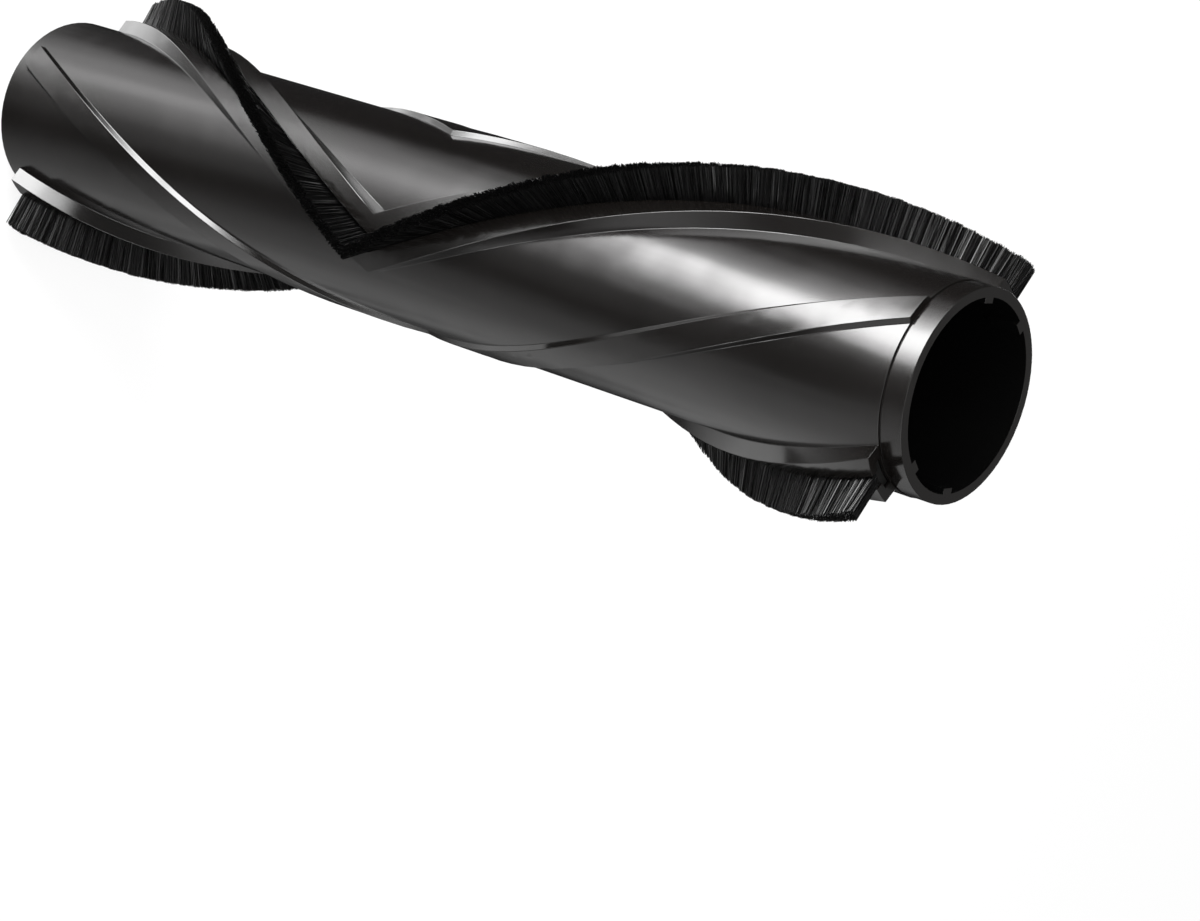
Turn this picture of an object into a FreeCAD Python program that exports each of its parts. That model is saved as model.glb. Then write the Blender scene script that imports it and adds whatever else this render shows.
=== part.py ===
import FreeCAD, Part
import math
import os

# Brush roll of a vacuum cleaner head. The roll stands on its far end: the axis is +Z, z = 0 is the
# plane of the far end and the open drive end is at the top. All sizes are in millimetres.

# Roll body
TUBE_OUTER_R = 19.0
TUBE_WALL = 2.1
OVERALL_LENGTH = 229.0
COLLAR_LENGTH = 4.5
COLLAR_STEP = 0.2
COLLAR_RELIEF_WIDTH = 0.3
COLLAR_RELIEF_DEPTH = 0.25
FAR_PLAIN_BAND = 3.5

# Chevron: two bristle rails and two plain ribs, a quarter turn apart, bend back at one height
CHEVRON_Z = 110.0
HELIX_PITCH = 291.0
CHEVRON_ANGLE = 90.0
RAIL_COUNT = 2
RIB_OFFSET_ANGLE = 88.3

# Bristle rail, a channel with two lips over a T-shaped slot
RAIL_WIDTH = 11.3
RAIL_HEIGHT = 3.0
LIP_THICKNESS = 1.6
SLOT_WIDTH = 6.4
MOUTH_WIDTH = 3.2
SLOT_FLOOR_RISE = 0.05

# Plain rib
RIB_FOOT_WIDTH = 6.2
RIB_TOP_WIDTH = 5.2
RIB_HEIGHT = 0.95

# Bristle strip: a moulded backing that slides in the slot, and the pile that it holds
STRIP_CLEARANCE = 0.1
BACKING_END_INSET = 0.8
BACKING_NECK_HEIGHT = 0.5
PILE_THICKNESS = 2.8
PILE_TIP_THICKNESS = 2.6
PILE_LEAN = 0.9
BRISTLE_REACH = 6.5

# Driving keys inside the mouth of the drive end
KEY_HEIGHT = 1.05
KEY_WIDTH = 2.5
KEY_LENGTH = 6.0
KEY_PAIR_ANGLE = 45.0

# Ball bearing at the far end
BEARING_BORE_R = 4.0
BEARING_OUTER_R = 11.0
BEARING_WIDTH = 7.0
BALL_R = 1.98
BALL_COUNT = 7
BALL_PLAY = 0.03
RACE_LAND_DROP = 0.65
SHIELD_THICKNESS = 0.3
SHIELD_INSET = 0.3
SHIELD_GAP = 0.3
CAGE_WALL = 1.1
CAGE_HEIGHT = 2.8
CAGE_BALL_PLAY = 0.08

# Bearing carrier, a moulded cup pressed into the far end
CARRIER_RECESS = 1.0
CARRIER_FIT = 0.02
CARRIER_WEB = 2.0
CARRIER_RIM_WALL = 1.5
CARRIER_HUB_WALL = 2.2
CARRIER_SHOULDER = 1.5
CARRIER_SHOULDER_LIP = 2.0
GUSSET_COUNT = 6
GUSSET_THICKNESS = 1.2
GUSSET_DROP = 1.5

# Seal stack between the carrier's face and the bearing
SEAL_WASHER_THICKNESS = 0.6
SEAL_WASHER_SEAT = 1.0
FELT_THICKNESS = 1.7
FELT_GAP = 0.3
SEAL_WASHER_GAP = 0.6
CIRCLIP_THICKNESS = 1.0
CIRCLIP_GROOVE = 0.6
CIRCLIP_GROOVE_PLAY = 0.1
CIRCLIP_BAND = 1.4
CIRCLIP_OPENING = 34.0
CIRCLIP_LUG_R = 1.2
CIRCLIP_LUG_INSET = 0.8
CIRCLIP_LUG_HOLE_R = 0.5
STACK_PLAY = 0.2

# Journal sleeve in the bearing, which takes the fixed pin of the cleaner head
PIN_HOLE_R = 2.5
SLEEVE_FLANGE = 1.0
SLEEVE_TAIL = 2.1
SLEEVE_TOP = 1.9
SLEEVE_CLIP_THICKNESS = 0.7
SLEEVE_CLIP_GROOVE = 0.4
SLEEVE_CLIP_BAND = 1.6
SLEEVE_CLIP_OPENING = 60.0
SLEEVE_CLIP_PLAY = 0.05

# Radii and heights that follow
tube_inner_r = TUBE_OUTER_R - TUBE_WALL
collar_r = TUBE_OUTER_R - COLLAR_STEP
rail_roof_r = TUBE_OUTER_R + RAIL_HEIGHT
rib_top_r = TUBE_OUTER_R + RIB_HEIGHT
slot_floor_r = collar_r + SLOT_FLOOR_RISE
lip_under_r = rail_roof_r - LIP_THICKNESS
bristle_tip_r = rail_roof_r + BRISTLE_REACH
body_end_z = OVERALL_LENGTH - COLLAR_LENGTH
rail_start_z = FAR_PLAIN_BAND
root_r = 0.5 * (tube_inner_r + collar_r)

ball_pitch_r = 0.5 * (BEARING_BORE_R + BEARING_OUTER_R)
inner_land_r = ball_pitch_r - BALL_R + RACE_LAND_DROP
outer_land_r = ball_pitch_r + BALL_R - RACE_LAND_DROP
shield_seat_r = outer_land_r + SHIELD_GAP

carrier_face_z = CARRIER_RECESS
washer_top_z = carrier_face_z + SEAL_WASHER_THICKNESS
felt_top_z = washer_top_z + FELT_THICKNESS
circlip_z = felt_top_z + STACK_PLAY
bearing_z = circlip_z + CIRCLIP_THICKNESS
bearing_mid_z = bearing_z + 0.5 * BEARING_WIDTH
bearing_top_z = bearing_z + BEARING_WIDTH
carrier_top_z = bearing_top_z + CARRIER_SHOULDER

AXIS = FreeCAD.Vector(0, 0, 1)
ORIGIN = FreeCAD.Vector(0, 0, 0)


def point(x, y, z=0.0):
    return FreeCAD.Vector(x, y, z)


def on_circle(r, y):
    """Point of the circle of radius r about the axis that lies at height y beside the X axis."""
    return point(math.sqrt(r * r - y * y), y)


def arc(r, y_from, y_to):
    """Arc of radius r about the axis, between two offsets beside the X axis."""
    middle = 0.5 * (math.asin(y_from / r) + math.asin(y_to / r))
    through = point(r * math.cos(middle), r * math.sin(middle))
    return Part.Arc(on_circle(r, y_from), through, on_circle(r, y_to)).toShape()


def closed_wire(edges):
    return Part.Wire(Part.__sortEdges__(edges))


def ring(r_outer, r_inner, height, z):
    outer = Part.makeCylinder(r_outer, height, point(0, 0, z), AXIS)
    return outer.cut(Part.makeCylinder(r_inner, height, point(0, 0, z), AXIS))


def revolved(corners):
    """Solid turned about the axis from a closed profile of (radius, height) corners."""
    corners = [point(r, 0, z) for r, z in corners]
    profile = Part.Face(Part.makePolygon(corners + corners[:1]))
    return profile.revolve(ORIGIN, AXIS, 360)


def turned(shape, angle):
    copy = shape.copy()
    copy.rotate(ORIGIN, AXIS, angle)
    return copy


def bar_outline(r_inner, r_outer, foot_width, top_width):
    """Section of a rail or rib: two side walls, a curved foot and a curved roof."""
    foot = 0.5 * foot_width
    top = 0.5 * top_width
    edges = [
        arc(r_inner, -foot, foot),
        Part.makeLine(on_circle(r_inner, foot), on_circle(r_outer, top)),
        arc(r_outer, top, -top),
        Part.makeLine(on_circle(r_outer, -top), on_circle(r_inner, -foot)),
    ]
    return closed_wire(edges)


def rib_outline():
    """Section of a plain rib, whose drafted walls run on below the tube's surface."""
    draft = (RIB_FOOT_WIDTH - RIB_TOP_WIDTH) / RIB_HEIGHT
    root_width = RIB_TOP_WIDTH + draft * (rib_top_r - root_r)
    return bar_outline(root_r, rib_top_r, root_width, RIB_TOP_WIDTH)


def tee_outline(r_floor, r_shoulder, r_top, flange_width, neck_width):
    """Section of the T-shaped slot, and of the backing that slides in it."""
    flange = 0.5 * flange_width
    neck = 0.5 * neck_width
    edges = [
        arc(r_floor, -flange, flange),
        Part.makeLine(on_circle(r_floor, flange), on_circle(r_shoulder, flange)),
        arc(r_shoulder, flange, neck),
        Part.makeLine(on_circle(r_shoulder, neck), on_circle(r_top, neck)),
        arc(r_top, neck, -neck),
        Part.makeLine(on_circle(r_top, -neck), on_circle(r_shoulder, -neck)),
        arc(r_shoulder, -neck, -flange),
        Part.makeLine(on_circle(r_shoulder, -flange), on_circle(r_floor, -flange)),
    ]
    return closed_wire(edges)


def pile_outline():
    """Section of the bristle pile, which leans the way that the roll turns."""
    root = 0.5 * PILE_THICKNESS
    tip = 0.5 * PILE_TIP_THICKNESS
    pile_root_r = lip_under_r + BACKING_NECK_HEIGHT
    edges = [
        arc(pile_root_r, -root, root),
        Part.makeLine(on_circle(pile_root_r, root), on_circle(rail_roof_r, root)),
        Part.makeLine(on_circle(rail_roof_r, root), on_circle(bristle_tip_r, PILE_LEAN + tip)),
        arc(bristle_tip_r, PILE_LEAN + tip, PILE_LEAN - tip),
        Part.makeLine(on_circle(bristle_tip_r, PILE_LEAN - tip), on_circle(rail_roof_r, -root)),
        Part.makeLine(on_circle(rail_roof_r, -root), on_circle(pile_root_r, -root)),
    ]
    return closed_wire(edges)


def helical(outline, length, angle):
    """Sweeps a section by a left-handed screw motion from the height of the bend upwards."""
    path = Part.Wire(Part.makeHelix(HELIX_PITCH, length, TUBE_OUTER_R, 0, True))
    solid = path.makePipeShell([outline], True, True)
    solid.rotate(ORIGIN, AXIS, angle)
    solid.translate(point(0, 0, CHEVRON_Z))
    return solid


def drive_half(outline, angle, z_high=body_end_z):
    """The length of a chevron member from the bend up to the drive end."""
    return helical(outline, z_high - CHEVRON_Z, angle)


def far_half(outline, angle, z_low=rail_start_z):
    """The length of a chevron member from the bend down to the far end, of the other hand."""
    return helical(outline, CHEVRON_Z - z_low, angle).mirror(point(0, 0, CHEVRON_Z), AXIS)


def rail_angles():
    return [CHEVRON_ANGLE + 360.0 * i / RAIL_COUNT for i in range(RAIL_COUNT)]


def roll_tube():
    """Tube, collar, rails, ribs and keys, one moulding."""
    relief_r = collar_r - COLLAR_RELIEF_DEPTH
    relief_top_z = body_end_z + COLLAR_RELIEF_WIDTH
    body = revolved(
        [
            (0, 0),
            (TUBE_OUTER_R, 0),
            (TUBE_OUTER_R, body_end_z),
            (relief_r, body_end_z),
            (relief_r, relief_top_z),
            (collar_r, relief_top_z),
            (collar_r, OVERALL_LENGTH),
            (0, OVERALL_LENGTH),
        ]
    )
    bars = []
    slots = []
    rail = bar_outline(root_r, rail_roof_r, RAIL_WIDTH, RAIL_WIDTH)
    slot = tee_outline(slot_floor_r, lip_under_r, rail_roof_r + LIP_THICKNESS, SLOT_WIDTH, MOUTH_WIDTH)
    rib = rib_outline()
    for angle in rail_angles():
        bars += [far_half(rail, angle), drive_half(rail, angle)]
        slots += [far_half(slot, angle), drive_half(slot, angle)]
        rib_angle = angle + RIB_OFFSET_ANGLE
        bars += [far_half(rib, rib_angle), drive_half(rib, rib_angle)]
    body = body.fuse(bars)
    body = body.cut(slots)
    body = body.cut(Part.makeCylinder(tube_inner_r, OVERALL_LENGTH))
    return body.fuse(keys())


def keys():
    """Driving keys at the mouth: two pairs, opposite each other."""
    depth = KEY_HEIGHT + 0.5 * TUBE_WALL
    block = Part.makeBox(depth, KEY_WIDTH, KEY_LENGTH)
    block.translate(point(tube_inner_r - KEY_HEIGHT, -0.5 * KEY_WIDTH, OVERALL_LENGTH - KEY_LENGTH))
    first = CHEVRON_ANGLE - 360.0 * (body_end_z - CHEVRON_Z) / HELIX_PITCH
    angles = [first + 180.0 * side + KEY_PAIR_ANGLE * i for side in range(2) for i in range(2)]
    return [turned(block, angle) for angle in angles]


def strip_backing_drive(angle):
    outline = backing_outline()
    return drive_half(outline, angle, body_end_z - BACKING_END_INSET)


def strip_backing_far(angle):
    outline = backing_outline()
    return far_half(outline, angle, rail_start_z + BACKING_END_INSET)


def backing_outline():
    return tee_outline(
        slot_floor_r + STRIP_CLEARANCE,
        lip_under_r - STRIP_CLEARANCE,
        lip_under_r + BACKING_NECK_HEIGHT,
        SLOT_WIDTH - 2 * STRIP_CLEARANCE,
        MOUTH_WIDTH - 2 * STRIP_CLEARANCE,
    )


def bearing_carrier():
    """Cup with a hub for the bearing, a rim in the tube and gussets between them."""
    rim_r = tube_inner_r - CARRIER_FIT
    hub_r = BEARING_OUTER_R + CARRIER_HUB_WALL
    web_top_z = carrier_face_z + CARRIER_WEB
    rim_inner_r = rim_r - CARRIER_RIM_WALL
    groove_r = BEARING_OUTER_R + CIRCLIP_GROOVE
    seat_r = BEARING_OUTER_R + SEAL_WASHER_SEAT
    body = revolved(
        [
            (seat_r, carrier_face_z),
            (rim_r, carrier_face_z),
            (rim_r, carrier_top_z),
            (rim_inner_r, carrier_top_z),
            (rim_inner_r, web_top_z),
            (hub_r, web_top_z),
            (hub_r, carrier_top_z),
            (BEARING_OUTER_R - CARRIER_SHOULDER_LIP, carrier_top_z),
            (BEARING_OUTER_R - CARRIER_SHOULDER_LIP, bearing_top_z),
            (BEARING_OUTER_R, bearing_top_z),
            (BEARING_OUTER_R, bearing_z),
            (groove_r, bearing_z),
            (groove_r, circlip_z),
            (BEARING_OUTER_R, circlip_z),
            (BEARING_OUTER_R, washer_top_z),
            (seat_r, washer_top_z),
        ]
    )
    overlap = 0.5 * CARRIER_RIM_WALL
    length = rim_inner_r - hub_r + 2 * overlap
    gusset = Part.makeBox(length, GUSSET_THICKNESS, carrier_top_z - GUSSET_DROP - carrier_face_z)
    gusset.translate(point(hub_r - overlap, -0.5 * GUSSET_THICKNESS, carrier_face_z))
    return body.fuse([turned(gusset, 360.0 * i / GUSSET_COUNT) for i in range(GUSSET_COUNT)])


def groove():
    """The ring-shaped space that the balls run in."""
    return Part.makeTorus(ball_pitch_r, BALL_R + BALL_PLAY, point(0, 0, bearing_mid_z), AXIS)


def bearing_outer_race():
    step = SHIELD_INSET + SHIELD_THICKNESS
    race = revolved(
        [
            (shield_seat_r, bearing_z),
            (BEARING_OUTER_R, bearing_z),
            (BEARING_OUTER_R, bearing_top_z),
            (shield_seat_r, bearing_top_z),
            (shield_seat_r, bearing_top_z - step),
            (outer_land_r, bearing_top_z - step),
            (outer_land_r, bearing_z + step),
            (shield_seat_r, bearing_z + step),
        ]
    )
    return race.cut(groove())


def bearing_inner_race():
    race = ring(inner_land_r, BEARING_BORE_R, BEARING_WIDTH, bearing_z)
    return race.cut(groove())


def bearing_balls():
    ball = Part.makeSphere(BALL_R, point(ball_pitch_r, 0, bearing_mid_z))
    return Part.makeCompound([turned(ball, 360.0 * i / BALL_COUNT) for i in range(BALL_COUNT)])


def bearing_cage():
    """Crown cage: a ring beside the balls with a pocket snapped over each."""
    cage = ring(ball_pitch_r + 0.5 * CAGE_WALL, ball_pitch_r - 0.5 * CAGE_WALL, CAGE_HEIGHT, bearing_mid_z)
    pocket = Part.makeSphere(BALL_R + CAGE_BALL_PLAY, point(ball_pitch_r, 0, bearing_mid_z))
    return cage.cut([turned(pocket, 360.0 * i / BALL_COUNT) for i in range(BALL_COUNT)])


def bearing_shield(z):
    return ring(shield_seat_r, inner_land_r + SHIELD_GAP, SHIELD_THICKNESS, z)


def open_ring(r_outer, r_inner, height, z, opening):
    """Flat snap ring with a gap centred on +X."""
    band = ring(r_outer, r_inner, height, z)
    reach = 2 * r_outer
    half = math.radians(0.5 * opening)
    corners = [ORIGIN, point(reach, -reach * math.tan(half)), point(reach, reach * math.tan(half)), ORIGIN]
    wedge = Part.Face(Part.makePolygon(corners)).extrude(point(0, 0, height))
    wedge.translate(point(0, 0, z))
    return band.cut(wedge)


def bearing_circlip():
    """Internal retaining ring with two drilled lugs beside its gap."""
    outer = BEARING_OUTER_R + CIRCLIP_GROOVE - CIRCLIP_GROOVE_PLAY
    clip = open_ring(outer, outer - CIRCLIP_BAND, CIRCLIP_THICKNESS, circlip_z, CIRCLIP_OPENING)
    lug_r = outer - CIRCLIP_BAND
    for side in (-1, 1):
        half = math.radians(0.5 * CIRCLIP_OPENING) + CIRCLIP_LUG_INSET / lug_r
        centre = point(lug_r * math.cos(half), side * lug_r * math.sin(half), circlip_z)
        clip = clip.fuse(Part.makeCylinder(CIRCLIP_LUG_R, CIRCLIP_THICKNESS, centre, AXIS))
        clip = clip.cut(Part.makeCylinder(CIRCLIP_LUG_HOLE_R, CIRCLIP_THICKNESS, centre, AXIS))
    return clip


def seal_washer():
    inner = BEARING_BORE_R + SEAL_WASHER_GAP
    return ring(BEARING_OUTER_R + SEAL_WASHER_SEAT, inner, SEAL_WASHER_THICKNESS, carrier_face_z)


def felt_seal():
    return ring(BEARING_OUTER_R, BEARING_BORE_R + FELT_GAP, FELT_THICKNESS, washer_top_z)


def journal_sleeve():
    """Flanged sleeve pressed in the inner race, with a groove for its clip."""
    flange_r = BEARING_BORE_R + SLEEVE_FLANGE
    flange_z = bearing_z - CIRCLIP_THICKNESS
    tail_z = flange_z - SLEEVE_TAIL
    top_z = bearing_top_z + SLEEVE_TOP
    clip_z = bearing_top_z + SLEEVE_CLIP_PLAY
    groove_r = BEARING_BORE_R - SLEEVE_CLIP_GROOVE
    return revolved(
        [
            (PIN_HOLE_R, tail_z),
            (BEARING_BORE_R, tail_z),
            (BEARING_BORE_R, flange_z),
            (flange_r, flange_z),
            (flange_r, bearing_z),
            (BEARING_BORE_R, bearing_z),
            (BEARING_BORE_R, clip_z),
            (groove_r, clip_z),
            (groove_r, clip_z + SLEEVE_CLIP_THICKNESS),
            (BEARING_BORE_R, clip_z + SLEEVE_CLIP_THICKNESS),
            (BEARING_BORE_R, top_z),
            (PIN_HOLE_R, top_z),
        ]
    )


def sleeve_clip():
    inner = BEARING_BORE_R - SLEEVE_CLIP_GROOVE
    outer = inner + SLEEVE_CLIP_BAND
    z = bearing_top_z + SLEEVE_CLIP_PLAY
    return open_ring(outer, inner, SLEEVE_CLIP_THICKNESS, z, SLEEVE_CLIP_OPENING)


def all_parts():
    angle_a, angle_b = rail_angles()
    pile = pile_outline()
    shield_z = bearing_z + SHIELD_INSET
    return {
        "roll_tube": roll_tube(),
        "strip_backing_a_drive": strip_backing_drive(angle_a),
        "strip_backing_a_far": strip_backing_far(angle_a),
        "strip_backing_b_drive": strip_backing_drive(angle_b),
        "strip_backing_b_far": strip_backing_far(angle_b),
        "bristle_pile_a_drive": drive_half(pile, angle_a),
        "bristle_pile_a_far": far_half(pile, angle_a),
        "bristle_pile_b_drive": drive_half(pile, angle_b),
        "bristle_pile_b_far": far_half(pile, angle_b),
        "bearing_carrier": bearing_carrier(),
        "bearing_outer_race": bearing_outer_race(),
        "bearing_inner_race": bearing_inner_race(),
        "bearing_balls": bearing_balls(),
        "bearing_cage": bearing_cage(),
        "bearing_shield_outer": bearing_shield(shield_z),
        "bearing_shield_inner": bearing_shield(bearing_top_z - SHIELD_INSET - SHIELD_THICKNESS),
        "bearing_circlip": bearing_circlip(),
        "seal_washer": seal_washer(),
        "felt_seal": felt_seal(),
        "journal_sleeve": journal_sleeve(),
        "sleeve_clip": sleeve_clip(),
    }


os.makedirs("parts", exist_ok=True)
for name, shape in all_parts().items():
    print(name, shape.isValid(), len(shape.Solids), round(shape.Volume, 2))
    shape.exportStep(f"parts/{name}.step")
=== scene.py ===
"""Studio scene of a vacuum cleaner's brush roll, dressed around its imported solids."""

import logging
import math
from dataclasses import dataclass
from enum import Enum, IntEnum
from typing import Any

import bmesh
import bpy
from mathutils import Matrix, Vector


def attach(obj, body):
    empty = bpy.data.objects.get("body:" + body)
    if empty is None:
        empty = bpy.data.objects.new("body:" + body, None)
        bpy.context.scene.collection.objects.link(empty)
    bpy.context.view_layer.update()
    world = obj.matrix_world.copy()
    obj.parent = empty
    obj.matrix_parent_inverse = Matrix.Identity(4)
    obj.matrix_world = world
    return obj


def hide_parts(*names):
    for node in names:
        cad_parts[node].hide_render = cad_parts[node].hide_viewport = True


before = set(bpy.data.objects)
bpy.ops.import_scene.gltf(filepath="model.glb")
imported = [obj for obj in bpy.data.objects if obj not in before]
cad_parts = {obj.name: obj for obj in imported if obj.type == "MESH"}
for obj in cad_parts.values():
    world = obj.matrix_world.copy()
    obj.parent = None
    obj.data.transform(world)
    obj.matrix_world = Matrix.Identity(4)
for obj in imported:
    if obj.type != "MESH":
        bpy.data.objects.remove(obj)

MM = 0.001
LOG = logging.getLogger("brush_roll")
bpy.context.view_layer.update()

# Scale at which Blender's wave texture turns by one radian over a unit of length
RADIAN_WAVE_SCALE = 0.05
# The part of a noise's range that it mostly keeps to
NOISE_RANGE = (0.3, 0.7)
# Middle of a noise's coloured output
MIDDLE = (0.5, 0.5, 0.5)

# Names of the values that a strip's footing and its filaments carry
SHADE = "shade"
HEIGHT = "height"
PILE_AXIS = "pile_axis"


# Helpers for colours, nodes and meshes


def linear(code: str) -> tuple[float, float, float, float]:
    """Turns an sRGB hex code into the linear colour that a shader takes.

    Args:
        code: Six hex digits after a hash sign.

    Returns:
        Red, green, blue and an alpha of one.
    """
    channels = [int(code[i : i + 2], 16) / 255 for i in (1, 3, 5)]
    toe, slope, offset, power = 0.04045, 12.92, 0.055, 2.4
    turned = [c / slope if c <= toe else ((c + offset) / (1 + offset)) ** power for c in channels]
    return (turned[0], turned[1], turned[2], 1.0)


def add_node(
    tree: bpy.types.NodeTree,
    kind: str,
    options: dict[str, Any] | None = None,
    inputs: dict[str | int, Any] | None = None,
) -> bpy.types.Node:
    """Adds a node with its settings and links.

    Args:
        tree: Tree that the node joins.
        kind: Blender's name for the type of node.
        options: Properties to set on the node.
        inputs: A value or another node's output socket for each input socket.

    Returns:
        The new node.
    """
    node = tree.nodes.new(kind)
    for name, value in (options or {}).items():
        setattr(node, name, value)
    for key, value in (inputs or {}).items():
        if isinstance(value, bpy.types.NodeSocket):
            tree.links.new(value, node.inputs[key])
        else:
            node.inputs[key].default_value = value
    return node


def value_of(tree: bpy.types.NodeTree, operation: str, *terms: Any) -> bpy.types.NodeSocket:
    """Adds a calculation on plain values.

    Args:
        tree: Tree that the node joins.
        operation: Blender's name for the calculation.
        terms: A number or another node's output socket for each input.

    Returns:
        The socket that holds the result.
    """
    node = add_node(tree, "ShaderNodeMath", {"operation": operation}, dict(enumerate(terms)))
    return node.outputs[0]


def vector_of(tree: bpy.types.NodeTree, operation: str, *terms: Any) -> bpy.types.NodeSocket:
    """Adds a calculation on vectors.

    Args:
        tree: Tree that the node joins.
        operation: Blender's name for the calculation.
        terms: A vector or another node's output socket for each input.

    Returns:
        The socket that holds the result.
    """
    node = add_node(tree, "ShaderNodeVectorMath", {"operation": operation}, dict(enumerate(terms)))
    return node.outputs[0]


def scaled(tree: bpy.types.NodeTree, vector: Any, factor: Any) -> bpy.types.NodeSocket:
    """Adds the product of a vector and a plain value.

    Args:
        tree: Tree that the node joins.
        vector: A vector or another node's output socket.
        factor: A number or another node's output socket.

    Returns:
        The socket that holds the result.
    """
    inputs = {0: vector, "Scale": factor}
    return add_node(tree, "ShaderNodeVectorMath", {"operation": "SCALE"}, inputs).outputs[0]


def noise(
    tree: bpy.types.NodeTree, place: bpy.types.NodeSocket, scale: Any, **settings: float
) -> bpy.types.Node:
    """Adds a noise texture.

    Args:
        tree: Tree that the node joins.
        place: Where the noise is read.
        scale: Lumps to a unit of length.
        settings: Further inputs by name.

    Returns:
        The noise's node.
    """
    inputs = {"Vector": place, "Scale": scale, **settings}
    return add_node(tree, "ShaderNodeTexNoise", inputs=inputs)


def mixed_colour(
    tree: bpy.types.NodeTree, share: bpy.types.NodeSocket, one: Any, other: Any
) -> bpy.types.NodeSocket:
    """Adds a mix of two colours.

    Args:
        tree: Tree that the node joins.
        share: How much of the other colour shows.
        one: A colour or another node's output socket.
        other: A colour or another node's output socket.

    Returns:
        The socket that holds the mix.
    """
    inputs = {"Factor": share, 6: one, 7: other}
    return add_node(tree, "ShaderNodeMix", {"data_type": "RGBA"}, inputs).outputs[2]


def bumped(
    tree: bpy.types.NodeTree, height: bpy.types.NodeSocket, depth_mm: float, **settings: Any
) -> bpy.types.NodeSocket:
    """Adds a bump.

    Args:
        tree: Tree that the node joins.
        height: Share of the depth that each place has.
        depth_mm: How deep the bump is.
        settings: Further inputs by name.

    Returns:
        The socket that holds the turned normal.
    """
    inputs = {"Height": height, "Distance": depth_mm * MM, **settings}
    return add_node(tree, "ShaderNodeBump", inputs=inputs).outputs[0]


def new_material(name: str) -> tuple[bpy.types.Material, bpy.types.NodeTree]:
    """Makes an empty node material.

    Args:
        name: Name of the material.

    Returns:
        The material and its node tree.
    """
    material = bpy.data.materials.new(name)
    material.use_nodes = True
    material.node_tree.nodes.clear()
    return material, material.node_tree


def finish_surface(tree: bpy.types.NodeTree, shader: bpy.types.NodeSocket) -> None:
    """Ends a material's tree in its surface output.

    Args:
        tree: The material's tree.
        shader: The shader that the surface shows.
    """
    add_node(tree, "ShaderNodeOutputMaterial", inputs={"Surface": shader})


def new_object(name: str, mesh: bpy.types.Mesh) -> bpy.types.Object:
    """Links a mesh to the scene as an object at the origin.

    Args:
        name: Name of the object.
        mesh: Its mesh, already in place.

    Returns:
        The linked object.
    """
    made = bpy.data.objects.new(name, mesh)
    bpy.context.scene.collection.objects.link(made)
    return made


# Finishes


@dataclass(frozen=True)
class MouldedPlastic:
    """Injection-moulded plastic with shallow sink waves and a fine grain from its mould."""

    name: str
    colour: str
    streak_colour: str
    roughness: float
    roughness_spread: float
    wave_mm: float
    wave_depth_mm: float
    grain_mm: float
    grain_depth_mm: float
    specular: float = 0.5

    def material(self) -> bpy.types.Material:
        """Builds the plastic's material.

        Returns:
            The material.
        """
        material, tree = new_material(self.name)
        place = add_node(tree, "ShaderNodeTexCoord").outputs["Object"]
        waves = noise(tree, place, 1 / (self.wave_mm * MM), Detail=2.0, Roughness=0.45).outputs[0]
        grain = noise(tree, place, 1 / (self.grain_mm * MM), Detail=3.0, Roughness=0.6).outputs[0]
        colour = mixed_colour(tree, waves, linear(self.colour), linear(self.streak_colour))
        roughness = add_node(
            tree,
            "ShaderNodeMapRange",
            inputs={
                "Value": waves,
                "From Min": NOISE_RANGE[0],
                "From Max": NOISE_RANGE[1],
                "To Min": self.roughness - self.roughness_spread,
                "To Max": self.roughness + self.roughness_spread,
            },
        ).outputs[0]
        sink = bumped(tree, waves, self.wave_depth_mm)
        skin = bumped(tree, grain, self.grain_depth_mm, Normal=sink)
        shader = add_node(
            tree,
            "ShaderNodeBsdfPrincipled",
            inputs={
                "Base Color": colour,
                "Roughness": roughness,
                "Specular IOR Level": self.specular,
                "Normal": skin,
            },
        )
        finish_surface(tree, shader.outputs[0])
        return material


@dataclass(frozen=True)
class TurnedSteel:
    """Steel with the fine rings that turning, grinding or punching leaves."""

    name: str
    colour: str
    dull_colour: str
    roughness: float
    ring_radian_mm: float
    ring_depth_mm: float
    blotch_mm: float = 3.0

    def material(self) -> bpy.types.Material:
        """Builds the steel's material.

        Returns:
            The material.
        """
        material, tree = new_material(self.name)
        place = add_node(tree, "ShaderNodeTexCoord").outputs["Object"]
        rings = add_node(
            tree,
            "ShaderNodeTexWave",
            {"wave_type": "RINGS", "rings_direction": "Z"},
            {
                "Vector": place,
                "Scale": RADIAN_WAVE_SCALE / (self.ring_radian_mm * MM),
                "Distortion": 0.4,
                "Detail": 2.0,
            },
        ).outputs["Fac"]
        blotches = noise(tree, place, 1 / (self.blotch_mm * MM), Detail=3.0).outputs[0]
        colour = mixed_colour(tree, blotches, linear(self.colour), linear(self.dull_colour))
        bump = bumped(tree, rings, self.ring_depth_mm)
        shader = add_node(
            tree,
            "ShaderNodeBsdfPrincipled",
            inputs={
                "Base Color": colour,
                "Metallic": 1.0,
                "Roughness": self.roughness,
                "Normal": bump,
            },
        )
        finish_surface(tree, shader.outputs[0])
        return material


@dataclass(frozen=True)
class PressedFelt:
    """Wool felt: matt, flecked and softly uneven."""

    name: str
    colour: str
    fleck_colour: str
    fibre_mm: float
    fibre_depth_mm: float = 0.2

    def material(self) -> bpy.types.Material:
        """Builds the felt's material.

        Returns:
            The material.
        """
        material, tree = new_material(self.name)
        place = add_node(tree, "ShaderNodeTexCoord").outputs["Object"]
        fibres = noise(tree, place, 1 / (self.fibre_mm * MM), Detail=4.0, Distortion=1.5).outputs[0]
        colour = mixed_colour(tree, fibres, linear(self.colour), linear(self.fleck_colour))
        bump = bumped(tree, fibres, self.fibre_depth_mm)
        shader = add_node(
            tree,
            "ShaderNodeBsdfPrincipled",
            inputs={"Base Color": colour, "Roughness": 0.95, "Sheen Weight": 0.3, "Normal": bump},
        )
        finish_surface(tree, shader.outputs[0])
        return material


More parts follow.
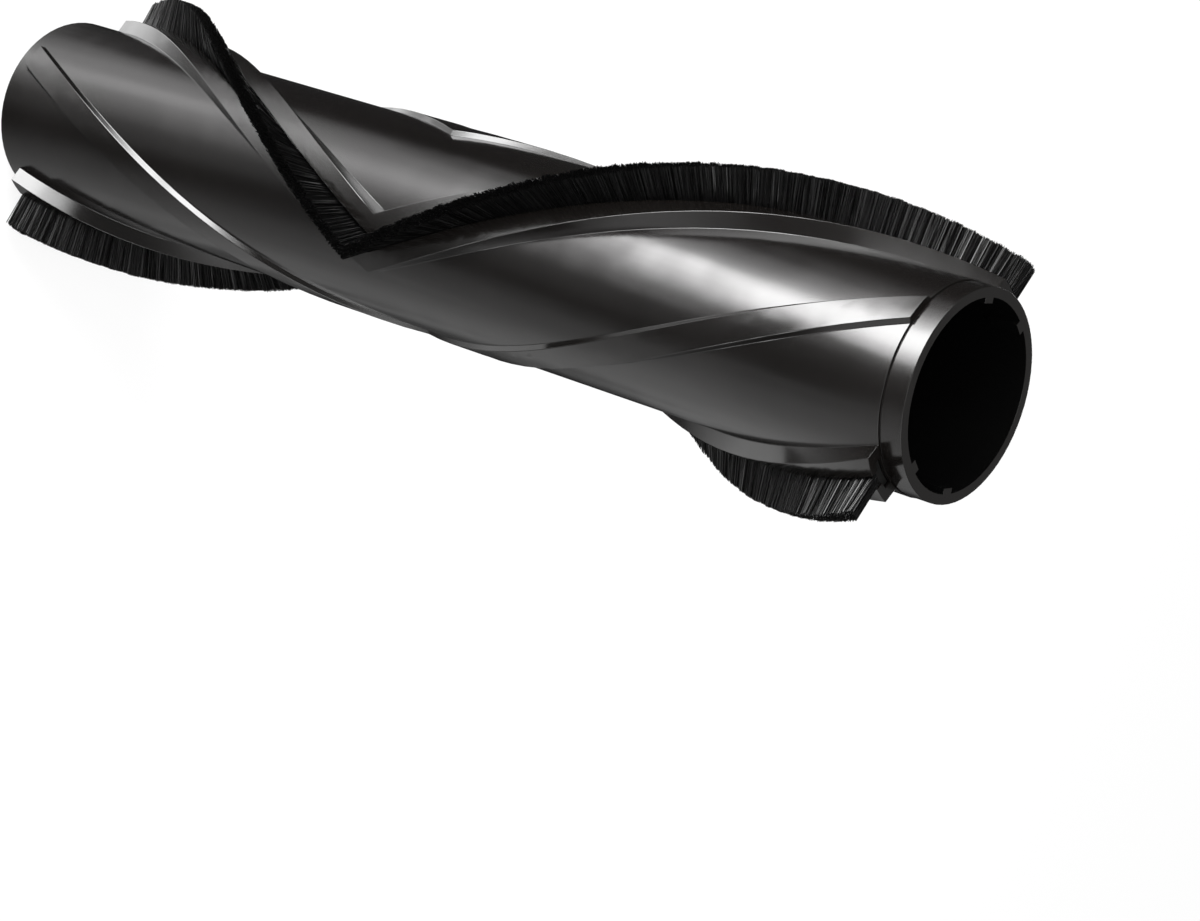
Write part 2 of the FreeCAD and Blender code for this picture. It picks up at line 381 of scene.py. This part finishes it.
@dataclass(frozen=True)
class NylonFilament:
    """Black nylon bristle: a smooth round filament that takes a thin highlight along it."""

    name: str
    dark_colour: str
    light_colour: str
    tip_colour: str
    roughness: float
    roughness_spread: float
    specular: float
    tip_from: float = 0.8

    def material(self) -> bpy.types.Material:
        """Builds the filaments' material from the shade and height that each one carries.

        Returns:
            The material.
        """
        material, tree = new_material(self.name)
        shade = add_node(tree, "ShaderNodeAttribute", {"attribute_name": SHADE}).outputs["Fac"]
        height = add_node(tree, "ShaderNodeAttribute", {"attribute_name": HEIGHT}).outputs["Fac"]
        body = mixed_colour(tree, shade, linear(self.dark_colour), linear(self.light_colour))
        near_tip = add_node(
            tree,
            "ShaderNodeMapRange",
            inputs={"Value": height, "From Min": self.tip_from, "From Max": 1.0},
        ).outputs[0]
        colour = mixed_colour(tree, near_tip, body, linear(self.tip_colour))
        gloss = add_node(
            tree,
            "ShaderNodeMapRange",
            inputs={
                "Value": shade,
                "To Min": self.roughness + self.roughness_spread,
                "To Max": self.roughness - self.roughness_spread,
            },
        ).outputs[0]
        shader = add_node(
            tree,
            "ShaderNodeBsdfPrincipled",
            inputs={"Base Color": colour, "Roughness": gloss, "Specular IOR Level": self.specular},
        )
        finish_surface(tree, shader.outputs[0])
        return material


# ABS with carbon black, from a polished cavity: a deep gloss black with long shallow waves
ROLL_ABS = MouldedPlastic(
    "moulded_abs_gloss_black", "#0a0908", "#0f0d0c", 0.16, 0.03, 24.0, 0.30, 0.35, 0.001
)
# ABS inside the bore: painted shade, a near-black colour with almost no reflection that stands for
# the shade inside the bore
BORE_SHADE_ABS = MouldedPlastic(
    "moulded_abs_bore_painted_shade", "#020202", "#030303", 0.9, 0.05, 16.0, 0.05, 0.3, 0.01, 0.05
)
# Polypropylene strip, extruded: matt with a waxy bloom
STRIP_PP = MouldedPlastic(
    "extruded_polypropylene_black", "#0b0b0b", "#121211", 0.5, 0.06, 9.0, 0.03, 0.25, 0.006
)
# Glass-filled nylon: dark grey and slightly rough where the fibres lie at the skin
CARRIER_NYLON = MouldedPlastic(
    "glass_filled_nylon_black", "#1c1c1c", "#2a2928", 0.48, 0.08, 5.0, 0.03, 0.2, 0.012
)
# Unfilled nylon: the cream of natural polyamide
CAGE_NYLON = MouldedPlastic(
    "natural_nylon_cream", "#d9cfae", "#cbbf9b", 0.4, 0.05, 4.0, 0.01, 0.2, 0.004
)
# Ground and polished bearing steel: bright with a close ring pattern
RACE_STEEL = TurnedSteel("ground_bearing_steel", "#c9c9cc", "#b5b6ba", 0.16, 0.25, 0.0006)
# Punched and passivated sheet: duller than the races
SHIELD_STEEL = TurnedSteel("passivated_sheet_steel", "#b7b6b0", "#9e9d98", 0.34, 0.4, 0.001)
# Phosphated spring steel: near black with an oily grey
CLIP_STEEL = TurnedSteel("phosphated_spring_steel", "#3a3a3b", "#2a2a2b", 0.42, 0.3, 0.001)
# Turned free-cutting steel: fine tool rings
SLEEVE_STEEL = TurnedSteel("turned_free_cutting_steel", "#aeb0b3", "#989a9e", 0.26, 0.2, 0.0015)
# Pressed wool felt: a soft mid grey with paler flecks
SEAL_FELT = PressedFelt("pressed_wool_felt_grey", "#5a5753", "#77736d", 0.35)
# Nylon filament: black, and each one a little paler or glossier than the next
PILE_NYLON = NylonFilament("nylon_filament_black", "#020202", "#070707", "#090909", 0.42, 0.2, 0.24)


# The moulded roll


@dataclass
class RollShell:
    """The moulded tube with its rails, ribs, collar and keys, smooth where the mould is smooth."""

    node: str = "roll_tube"
    body: str = "roll"
    slot: str = "roll_plastic"
    merge_mm: float = 0.002
    crease_deg: float = 28.0
    edge_round_mm: float = 0.1
    edge_round_over_deg: float = 50.0
    edge_segments: int = 2
    bore_r_mm: float = 17.1
    mouth_z_mm: float = 228.9

    def build(self) -> bpy.types.Object:
        """Builds the shell from a merged copy of its solid's surface, with the mould's edge radius.

        Returns:
            The shell, which stands for the solid.
        """
        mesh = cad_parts[self.node].data.copy()
        mesh.name = "roll_shell"
        mesh.materials.clear()
        mesh.materials.append(ROLL_ABS.material())
        # The second material paints the shade inside the bore
        mesh.materials.append(BORE_SHADE_ABS.material())
        work = bmesh.new()
        work.from_mesh(mesh)
        bmesh.ops.remove_doubles(work, verts=work.verts, dist=self.merge_mm * MM)
        bmesh.ops.dissolve_degenerate(work, edges=work.edges, dist=self.merge_mm * MM)
        for face in work.faces:
            face.smooth = True
            # Faces inside the bore get the second material, which paints their shade
            face.material_index = self.gloss_or_bore_shade(face)
        for edge in work.edges:
            joined = len(edge.link_faces) == 2
            edge.smooth = joined and edge.calc_face_angle() < math.radians(self.crease_deg)
        work.to_mesh(mesh)
        work.free()
        shell = new_object("roll_shell", mesh)
        rounding = shell.modifiers.new("mould_radius", "BEVEL")
        rounding.width = self.edge_round_mm * MM
        rounding.segments = self.edge_segments
        rounding.angle_limit = math.radians(self.edge_round_over_deg)
        rounding.use_clamp_overlap = False
        rounding.loop_slide = False
        rounding.harden_normals = True
        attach(shell, self.body)
        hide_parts(self.node)
        return shell

    def gloss_or_bore_shade(self, face: bmesh.types.BMFace) -> int:
        """Tells whether a face lies inside the bore, where a darker material paints the shade.

        Args:
            face: A face of the shell.

        Returns:
            One for the faces inside the bore, which get the painted shade, and zero elsewhere.
        """
        corners = [v.co for v in face.verts]
        inside = all(math.hypot(c.x, c.y) < self.bore_r_mm * MM for c in corners)
        at_mouth = all(c.z > self.mouth_z_mm * MM for c in corners)
        return 1 if inside and not at_mouth else 0


# The bristle strips

# Trim of a filament's length by chance, in spreads, and thickness of one against the strip's own
TRIM_RANGE = (-0.75, 0.25)
GAUGE_RANGE = (0.8, 1.15)


class Half(Enum):
    """The two lengths of a bristle rail, on either side of its bend."""

    DRIVE = "drive"
    FAR = "far"


class Draw(IntEnum):
    """Steps of a strip's seed that keep one random draw apart from another."""

    CLUMP = 3
    STRAY = 5
    SPIN = 7
    TRIM = 11
    GAUGE = 13
    TONE = 17


@dataclass
class BristleStrip:
    """Nylon pile of one length of rail, filament by filament."""

    letter: str
    half: Half
    bend_angle_deg: float
    seed: int
    bend_z_mm: float = 110.0
    pitch_mm: float = 291.0
    drive_end_z_mm: float = 224.5
    far_end_z_mm: float = 3.5
    root_r_mm: float = 20.9
    tip_r_mm: float = 28.45
    pile_width_mm: float = 2.7
    lean_mm: float = 0.95
    filament_mm: float = 0.15
    filament_count: int = 16400
    length_spread_mm: float = 0.32
    clump_mm: float = 2.0
    clump_lean: float = 0.112
    clump_trim: float = 2.2
    stray_lean: float = 0.024
    crimp_mm: float = 0.04
    stations: int = 96

    def end_z_mm(self) -> float:
        """Returns the height of the rail's end on this side of the bend."""
        return self.drive_end_z_mm if self.half is Half.DRIVE else self.far_end_z_mm

    def angle_at(self, z_mm: float) -> float:
        """Gives the angle of the rail's centre line at a height.

        Args:
            z_mm: Height above the far end.

        Returns:
            The angle about the roll's axis, in radians.
        """
        turn = 360.0 * abs(z_mm - self.bend_z_mm) / self.pitch_mm
        return math.radians(self.bend_angle_deg - turn)

    def footing(self) -> bpy.types.Object:
        """Builds the band that the filaments stand on, with the way that they point.

        Returns:
            A helical band as an object, which isn't kept.
        """
        points, axes, faces = [], [], []
        half_width = 0.5 * self.pile_width_mm
        inset = 0.5 * self.filament_mm
        start, end = self.bend_z_mm, self.end_z_mm()
        end += inset if end < start else -inset
        for i in range(self.stations + 1):
            z = start + (end - start) * i / self.stations
            angle = self.angle_at(z)
            outward = Vector((math.cos(angle), math.sin(angle), 0))
            sideways = Vector((-outward.y, outward.x, 0))
            rise = self.tip_r_mm - self.root_r_mm
            for side in (-half_width, half_width):
                points.append((outward * self.root_r_mm + sideways * side + Vector((0, 0, z))) * MM)
                axes.append((outward * rise + sideways * self.lean_mm).normalized())
        for i in range(self.stations):
            a = 2 * i
            faces.append((a, a + 1, a + 3, a + 2))
        mesh = bpy.data.meshes.new(f"footing_{self.letter}_{self.half.value}")
        mesh.from_pydata(points, [], faces)
        attribute = mesh.attributes.new(PILE_AXIS, "FLOAT_VECTOR", "POINT")
        attribute.data.foreach_set("vector", [x for axis in axes for x in axis])
        return new_object(mesh.name, mesh)

    def band_area(self) -> float:
        """Returns the area of the footing band in square metres."""
        return abs(self.end_z_mm() - self.bend_z_mm) * self.pile_width_mm * MM * MM

    def build(self, tree: bpy.types.NodeTree, finish: bpy.types.Material) -> bpy.types.Object:
        """Grows the pile on its footing and keeps it as a plain mesh.

        Args:
            tree: The geometry nodes that grow a pile.
            finish: Material of the filaments.

        Returns:
            The pile, which stands for its solid.
        """
        footing = self.footing()
        grower = footing.modifiers.new("grow_pile", "NODES")
        grower.node_group = tree
        sizes = {
            "Density": self.filament_count / self.band_area(),
            "Filament Radius": 0.5 * self.filament_mm * MM,
            "Filament Length": math.hypot(self.tip_r_mm - self.root_r_mm, self.lean_mm) * MM,
            "Length Spread": self.length_spread_mm * MM,
            "Clump Size": self.clump_mm * MM,
            "Clump Lean": self.clump_lean,
            "Clump Trim": self.clump_trim,
            "Stray Lean": self.stray_lean,
            "Crimp": self.crimp_mm * MM,
            "Seed": self.seed,
            "Finish": finish,
        }
        for item in tree.interface.items_tree:
            if item.item_type == "SOCKET" and item.in_out == "INPUT" and item.name in sizes:
                grower[item.identifier] = sizes[item.name]
        scene_state = bpy.context.evaluated_depsgraph_get()
        scene_state.update()
        grown = bpy.data.meshes.new_from_object(footing.evaluated_get(scene_state))
        grown.name = f"pile_{self.letter}_{self.half.value}"
        bpy.data.objects.remove(footing)
        pile = new_object(f"nylon_pile_{self.letter}_{self.half.value}", grown)
        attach(pile, "roll")
        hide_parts(f"bristle_pile_{self.letter}_{self.half.value}")
        return pile


def pile_tree() -> bpy.types.NodeTree:
    """Builds the geometry nodes that scatter, lean, trim and dress a strip's filaments.

    Returns:
        The node tree.
    """
    tree = bpy.data.node_groups.new("grow_bristle_pile", "GeometryNodeTree")
    face = tree.interface
    face.new_socket("Footing", in_out="INPUT", socket_type="NodeSocketGeometry")
    for name in (
        "Density",
        "Filament Radius",
        "Filament Length",
        "Length Spread",
        "Clump Size",
        "Clump Lean",
        "Clump Trim",
        "Stray Lean",
        "Crimp",
    ):
        face.new_socket(name, in_out="INPUT", socket_type="NodeSocketFloat")
    face.new_socket("Seed", in_out="INPUT", socket_type="NodeSocketInt")
    face.new_socket("Finish", in_out="INPUT", socket_type="NodeSocketMaterial")
    face.new_socket("Pile", in_out="OUTPUT", socket_type="NodeSocketGeometry")
    given = add_node(tree, "NodeGroupInput").outputs

    def seed_of(draw: Draw) -> bpy.types.NodeSocket:
        """Returns the strip's seed moved on by a draw's step."""
        return value_of(tree, "ADD", given["Seed"], draw.value)

    def chance(low: Any, high: Any, draw: Draw) -> bpy.types.NodeSocket:
        """Returns a value or vector drawn for each filament, between two bounds."""
        plain = isinstance(low, float)
        kind, first, output = ("FLOAT", 2, 1) if plain else ("FLOAT_VECTOR", 0, 0)
        inputs = {first: low, first + 1: high, "Seed": seed_of(draw)}
        drawn = add_node(tree, "FunctionNodeRandomValue", {"data_type": kind}, inputs)
        return drawn.outputs[output]

    # One filament, one unit tall, bent a little along its height
    blank = add_node(
        tree,
        "GeometryNodeMeshCone",
        {"fill_type": "NONE"},
        {
            "Vertices": 3,
            "Side Segments": 2,
            "Radius Top": given["Filament Radius"],
            "Radius Bottom": given["Filament Radius"],
            "Depth": 1.0,
        },
    ).outputs["Mesh"]
    place = add_node(tree, "GeometryNodeInputPosition").outputs[0]
    height = add_node(tree, "ShaderNodeSeparateXYZ", inputs={0: place}).outputs["Z"]
    marked = add_node(
        tree,
        "GeometryNodeStoreNamedAttribute",
        {"data_type": "FLOAT", "domain": "POINT"},
        {"Geometry": blank, "Name": HEIGHT, "Value": height},
    ).outputs[0]
    sway = value_of(tree, "MULTIPLY", value_of(tree, "MULTIPLY", height, height), given["Crimp"])
    offset = add_node(tree, "ShaderNodeCombineXYZ", inputs={"X": sway}).outputs[0]
    bent = {0: marked, "Offset": offset}
    filament = add_node(tree, "GeometryNodeSetPosition", inputs=bent).outputs[0]

    # Where the filaments stand
    points = add_node(
        tree,
        "GeometryNodeDistributePointsOnFaces",
        {"distribute_method": "RANDOM"},
        {"Mesh": given["Footing"], "Density": given["Density"], "Seed": given["Seed"]},
    ).outputs["Points"]

    # The way that each one points: the strip's own lean, a lean by clump and a stray lean
    axis = add_node(
        tree,
        "GeometryNodeInputNamedAttribute",
        {"data_type": "FLOAT_VECTOR"},
        {"Name": PILE_AXIS},
    ).outputs[0]
    clump_scale = value_of(tree, "DIVIDE", 1.0, given["Clump Size"])
    clumps = add_node(
        tree,
        "ShaderNodeTexNoise",
        {"noise_dimensions": "4D"},
        {"Vector": place, "W": seed_of(Draw.CLUMP), "Scale": clump_scale, "Detail": 1.5},
    )
    centred = vector_of(tree, "SUBTRACT", clumps.outputs[1], MIDDLE)
    stray = chance((-1, -1, -1), (1, 1, 1), Draw.STRAY)
    by_clump = scaled(tree, centred, given["Clump Lean"])
    lean = vector_of(tree, "ADD", by_clump, scaled(tree, stray, given["Stray Lean"]))
    direction = vector_of(tree, "ADD", axis, lean)
    aligned = add_node(
        tree, "FunctionNodeAlignRotationToVector", {"axis": "Z"}, {"Vector": direction}
    ).outputs[0]
    spin = chance(0.0, 2 * math.pi, Draw.SPIN)
    about_itself = add_node(
        tree, "FunctionNodeAxisAngleToRotation", inputs={"Axis": (0, 0, 1), "Angle": spin}
    ).outputs[0]
    turned = add_node(
        tree,
        "FunctionNodeRotateRotation",
        {"rotation_space": "LOCAL"},
        {0: aligned, 1: about_itself},
    ).outputs[0]

    # How long each one is: trimmed by clump and by chance
    trim = chance(*TRIM_RANGE, Draw.TRIM)
    uneven = value_of(tree, "SUBTRACT", clumps.outputs[0], 0.5)
    both = value_of(tree, "MULTIPLY_ADD", uneven, given["Clump Trim"], trim)
    length = value_of(tree, "MULTIPLY_ADD", both, given["Length Spread"], given["Filament Length"])
    gauge = chance(*GAUGE_RANGE, Draw.GAUGE)
    stretch = {"X": gauge, "Y": gauge, "Z": length}
    size = add_node(tree, "ShaderNodeCombineXYZ", inputs=stretch).outputs[0]
    placed = add_node(
        tree,
        "GeometryNodeInstanceOnPoints",
        inputs={"Points": points, "Instance": filament, "Rotation": turned, "Scale": size},
    ).outputs[0]
    shade = chance(0.0, 1.0, Draw.TONE)
    shaded = add_node(
        tree,
        "GeometryNodeStoreNamedAttribute",
        {"data_type": "FLOAT", "domain": "INSTANCE"},
        {"Geometry": placed, "Name": SHADE, "Value": shade},
    ).outputs[0]
    realised = add_node(tree, "GeometryNodeRealizeInstances", inputs={0: shaded}).outputs[0]
    dressed = add_node(
        tree, "GeometryNodeSetMaterial", inputs={"Geometry": realised, "Material": given["Finish"]}
    ).outputs[0]
    add_node(tree, "NodeGroupOutput", inputs={"Pile": dressed})
    return tree


@dataclass
class BristleStrips:
    """The two strips, each in two lengths that meet at the bend of its rail."""

    first_angle_deg: float = 90.0
    letters: tuple[str, ...] = ("a", "b")
    first_seed: int = 40
    seed_step: int = 31

    def build(self) -> list[bpy.types.Object]:
        """Grows all piles and dresses the backings that hold them.

        Returns:
            The piles.
        """
        tree = pile_tree()
        finish = PILE_NYLON.material()
        backing_finish = STRIP_PP.material()
        piles = []
        for i, letter in enumerate(self.letters):
            angle = self.first_angle_deg + 360.0 * i / len(self.letters)
            for j, half in enumerate(Half):
                seed = self.first_seed + self.seed_step * (len(Half) * i + j)
                piles.append(BristleStrip(letter, half, angle, seed).build(tree, finish))
                dress_node(f"strip_backing_{letter}_{half.value}", backing_finish)
        return piles


def dress_node(node: str, finish: bpy.types.Material) -> None:
    """Gives a solid of the frame its finish.

    Args:
        node: Name of the solid.
        finish: The material that it gets.
    """
    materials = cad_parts[node].data.materials
    materials.clear()
    materials.append(finish)


# The bearing end


@dataclass
class BearingEnd:
    """Carrier, ball bearing, seals and journal of the far end."""

    def build(self) -> list[str]:
        """Dresses the solids of the bearing end.

        Returns:
            The names of the solids.
        """
        races, shields = RACE_STEEL.material(), SHIELD_STEEL.material()
        clips = CLIP_STEEL.material()
        finishes = {
            "bearing_carrier": CARRIER_NYLON.material(),
            "bearing_outer_race": races,
            "bearing_inner_race": races,
            "bearing_balls": races,
            "bearing_cage": CAGE_NYLON.material(),
            "bearing_shield_outer": shields,
            "bearing_shield_inner": shields,
            "seal_washer": shields,
            "bearing_circlip": clips,
            "sleeve_clip": clips,
            "journal_sleeve": SLEEVE_STEEL.material(),
            "felt_seal": SEAL_FELT.material(),
        }
        for node, finish in finishes.items():
            dress_node(node, finish)
        return list(finishes)


# The studio


@dataclass
class Viewpoint:
    """The photograph's camera, which looks down on the roll from beside its open end."""

    place_mm: tuple[float, float, float] = (133.23, 419.67, 490.82)
    right: tuple[float, float, float] = (0.11084, -0.64990, 0.75189)
    up: tuple[float, float, float] = (0.94901, -0.15545, -0.27426)
    lens_mm: float = 91.96
    sensor_mm: float = 36.0

    def build(self) -> bpy.types.Object:
        """Places the camera.

        Returns:
            The scene's camera.
        """
        data = bpy.data.cameras.new("photo_camera")
        data.lens = self.lens_mm
        data.sensor_width = self.sensor_mm
        data.sensor_fit = "HORIZONTAL"
        camera = new_object("photo_camera", data)
        right, up = Vector(self.right).normalized(), Vector(self.up).normalized()
        back = right.cross(up).normalized()
        up = back.cross(right)
        turn = Matrix((right, up, back)).transposed().to_4x4()
        camera.matrix_world = Matrix.Translation(Vector(self.place_mm) * MM) @ turn
        bpy.context.scene.camera = camera
        return camera


@dataclass(frozen=True)
class Softbox:
    """A square soft lamp that points at the roll."""

    name: str
    place_mm: tuple[float, float, float]
    size_mm: float
    watts: float
    aim_mm: tuple[float, float, float] = (0.0, 0.0, 115.0)

    def build(self) -> bpy.types.Object:
        """Hangs the lamp.

        Returns:
            The lamp.
        """
        data = bpy.data.lights.new(self.name, "AREA")
        data.shape = "SQUARE"
        data.size = self.size_mm * MM
        data.energy = self.watts
        lamp = new_object(self.name, data)
        place, aim = Vector(self.place_mm) * MM, Vector(self.aim_mm) * MM
        turn = (aim - place).to_track_quat("-Z", "Y").to_matrix().to_4x4()
        lamp.matrix_world = Matrix.Translation(place) @ turn
        lamp.visible_camera = False
        lamp.visible_glossy = False
        return lamp


@dataclass(frozen=True)
class Panel:
    """A soft-edged lamp panel or pale wall of the studio, as the roll's gloss shows it."""

    name: str
    azimuth_deg: float
    height_deg: float
    half_width_deg: float
    half_height_deg: float
    width_soft_deg: float
    height_soft_deg: float
    level: float

    def glow(
        self, tree: bpy.types.NodeTree, azimuth: bpy.types.NodeSocket, height: bpy.types.NodeSocket
    ) -> bpy.types.NodeSocket:
        """Gives the panel's light by direction.

        Args:
            tree: Tree of the reflector's material.
            azimuth: Angle about the roll's axis, in radians.
            height: Angle above the horizon, in radians.

        Returns:
            The socket that holds the light.
        """
        aside = value_of(tree, "SUBTRACT", azimuth, math.radians(self.azimuth_deg))
        wrapped = value_of(tree, "WRAP", aside, math.pi, -math.pi)
        above = value_of(tree, "SUBTRACT", height, math.radians(self.height_deg))
        parts = []
        for offset, half, soft in (
            (wrapped, self.half_width_deg, self.width_soft_deg),
            (above, self.half_height_deg, self.height_soft_deg),
        ):
            edge = add_node(
                tree,
                "ShaderNodeMapRange",
                {"interpolation_type": "SMOOTHSTEP"},
                {
                    "Value": value_of(tree, "ABSOLUTE", offset),
                    "From Min": math.radians(half - soft),
                    "From Max": math.radians(half + soft),
                    "To Min": 1.0,
                    "To Max": 0.0,
                },
            ).outputs[0]
            parts.append(edge)
        return value_of(tree, "MULTIPLY", value_of(tree, "MULTIPLY", *parts), self.level)


# What stands round the roll, as far as its gloss shows it
PANELS = (
    Panel("key_window", 36.0, -15.0, 17.0, 22.0, 8.0, 2.0, 22.0),
    Panel("key_window_side", 10.0, -18.0, 16.0, 7.0, 13.0, 5.3, 21.0),
    Panel("key_spill", 20.0, -46.0, 10.0, 22.0, 40.0, 6.7, 6.0),
    Panel("key_fade", 69.0, -33.0, 4.0, 18.0, 38.0, 2.1, 0.9),
    Panel("side_wall", -15.0, -15.0, 14.0, 8.0, 10.0, 15.5, 1.5),
    Panel("back_wall", 165.0, -35.0, 39.0, 12.0, 33.0, 20.0, 1.15),
    Panel("back_door", 136.0, -1.0, 21.0, 18.0, 17.0, 4.7, 1.1),
    Panel("dim_front", 61.0, 5.0, 56.0, 23.0, 12.0, 5.9, 0.17),
    Panel("white_table", 0.0, -86.0, 190.0, 15.0, 5.0, 11.1, 1.75),
    Panel("table_edge", -49.0, -74.0, 31.0, 11.0, 7.0, 18.5, 1.8),
    Panel("table_glow", -35.0, -58.0, 30.0, 5.0, 14.0, 4.0, 2.6),
    Panel("rear_strip", -103.0, -13.0, 13.0, 12.0, 12.0, 5.0, 7.0),
    Panel("rear_window", 118.0, -17.0, 14.0, 5.0, 14.0, 5.0, 14.0),
    Panel("ceiling", 0.0, 60.0, 190.0, 36.0, 5.0, 10.0, 0.2),
    Panel("overhead_box", 80.0, 66.0, 40.0, 13.0, 14.0, 6.0, 4.0),
)


@dataclass
class Studio:
    """White floor and surround, soft lamps, and the reflector that the plastic mirrors."""

    floor_r_mm: float = 4000.0
    floor_drop_mm: float = 0.2
    floor_sides: int = 128
    paper_colour: str = "#f2f2f2"
    background_share: float = 0.8
    world_strength: float = 0.8
    reflector_r_mm: float = 8000.0
    reflector_centre_z_mm: float = 115.0
    reflector_subdivisions: int = 4
    dark_level: float = 0.03
    drift: float = 0.12
    drift_scale: float = 4.0
    sway: float = 1.3
    sway_scale: float = 1.6
    sway_flatness: float = 14.0

    def build(self) -> None:
        """Builds the surround, the floor, the lamps and the reflector."""
        self.light_surround()
        self.floor()
        self.reflector()
        for softbox in (
            Softbox("softbox_above", (620.0, 260.0, 520.0), 520.0, 9.0),
            Softbox("softbox_front", (160.0, 760.0, 620.0), 620.0, 6.0),
        ):
            softbox.build()

    @staticmethod
    def seen_directly(tree: bpy.types.NodeTree) -> bpy.types.NodeSocket:
        """Gives one for rays that show the background, to the camera or in gloss and glass.

        Args:
            tree: A world's or material's tree.

        Returns:
            The socket that holds it.
        """
        path = add_node(tree, "ShaderNodeLightPath").outputs
        either = value_of(tree, "MAXIMUM", path["Is Camera Ray"], path["Is Glossy Ray"])
        return value_of(tree, "MAXIMUM", either, path["Is Transmission Ray"])

    def light_surround(self) -> None:
        """Makes the world a white surround that lights the roll a little less than it shows."""
        world = bpy.data.worlds.new("white_surround")
        world.use_nodes = True
        tree = world.node_tree
        tree.nodes.clear()
        levels = {"Value": self.seen_directly(tree), "To Min": self.world_strength, "To Max": 1.0}
        strength = add_node(tree, "ShaderNodeMapRange", inputs=levels).outputs[0]
        surround = add_node(
            tree, "ShaderNodeBackground", inputs={"Color": linear("#ffffff"), "Strength": strength}
        ).outputs[0]
        add_node(tree, "ShaderNodeOutputWorld", inputs={"Surface": surround})
        world.cycles_visibility.glossy = False
        bpy.context.scene.world = world

    def floor(self) -> bpy.types.Object:
        """Lays the floor: white paper that keeps the roll's shadow.

        Returns:
            The floor.
        """
        points = []
        for i in range(self.floor_sides):
            angle = 2 * math.pi * i / self.floor_sides
            points.append(Vector((math.cos(angle), math.sin(angle), 0)) * self.floor_r_mm * MM)
        mesh = bpy.data.meshes.new("floor")
        mesh.from_pydata(points, [], [tuple(range(self.floor_sides))])
        floor = new_object("floor", mesh)
        floor.location.z = -self.floor_drop_mm * MM
        material, tree = new_material("white_paper")
        colour = linear(self.paper_colour)
        paper = add_node(tree, "ShaderNodeBsdfDiffuse", inputs={"Color": colour}).outputs[0]
        bright = add_node(tree, "ShaderNodeEmission", inputs={"Strength": 1.0}).outputs[0]
        share = value_of(tree, "MULTIPLY", self.seen_directly(tree), self.background_share)
        both = add_node(tree, "ShaderNodeMixShader", inputs={0: share, 1: paper, 2: bright})
        finish_surface(tree, both.outputs[0])
        floor.data.materials.append(material)
        floor.visible_glossy = False
        return floor

    def reflector(self) -> bpy.types.Object:
        """Hangs the panels and the dark between them all round, for the roll's gloss alone.

        Returns:
            The reflector.
        """
        mesh = bpy.data.meshes.new("reflector")
        work = bmesh.new()
        bmesh.ops.create_icosphere(
            work, subdivisions=self.reflector_subdivisions, radius=self.reflector_r_mm * MM
        )
        bmesh.ops.reverse_faces(work, faces=work.faces)
        work.to_mesh(mesh)
        work.free()
        reflector = new_object("reflector", mesh)
        reflector.location.z = self.reflector_centre_z_mm * MM
        material, tree = new_material("panels_and_flags")
        place = add_node(tree, "ShaderNodeTexCoord").outputs["Object"]
        # The direction, drifted a little so that no panel's edge is straight
        way = vector_of(tree, "NORMALIZE", place)
        cloud = noise(tree, way, self.drift_scale, Detail=2.0).outputs[1]
        shift = scaled(tree, vector_of(tree, "SUBTRACT", cloud, MIDDLE), self.drift)
        way = vector_of(tree, "NORMALIZE", vector_of(tree, "ADD", way, shift))
        axes = add_node(tree, "ShaderNodeSeparateXYZ", inputs={0: way}).outputs
        height = value_of(tree, "ARCSINE", axes["Z"])
        # Panels sway sideways from one height to the next, as in a slightly wavy mirror
        tall = value_of(tree, "MULTIPLY", height, self.sway_flatness)
        stretched = {"X": axes["X"], "Y": axes["Y"], "Z": tall}
        layers = add_node(tree, "ShaderNodeCombineXYZ", inputs=stretched).outputs[0]
        waver = noise(tree, layers, self.sway_scale, Detail=2.0).outputs[0]
        aside = value_of(tree, "MULTIPLY_ADD", waver, self.sway, -0.5 * self.sway)
        azimuth = value_of(tree, "ADD", value_of(tree, "ARCTAN2", axes["Y"], axes["X"]), aside)
        total = self.dark_level
        for panel in PANELS:
            total = value_of(tree, "ADD", panel.glow(tree, azimuth, height), total)
        glowing = add_node(tree, "ShaderNodeEmission", inputs={"Strength": total})
        finish_surface(tree, glowing.outputs[0])
        reflector.data.materials.append(material)
        for kind in ("camera", "diffuse", "transmission", "volume_scatter", "shadow"):
            setattr(reflector, f"visible_{kind}", False)
        return reflector


def main() -> None:
    """Builds the roll piece by piece, then its studio."""
    logging.basicConfig(level=logging.INFO, format="%(message)s")
    bpy.context.scene.view_settings.view_transform = "Standard"
    shell = RollShell().build()
    LOG.info("%s: %d faces", shell.name, len(shell.data.polygons))
    for pile in BristleStrips().build():
        LOG.info("%s: %d faces", pile.name, len(pile.data.polygons))
    LOG.info("bearing end: %s", ", ".join(BearingEnd().build()))
    Viewpoint().build()
    Studio().build()


if __name__ == "__main__":
    main()
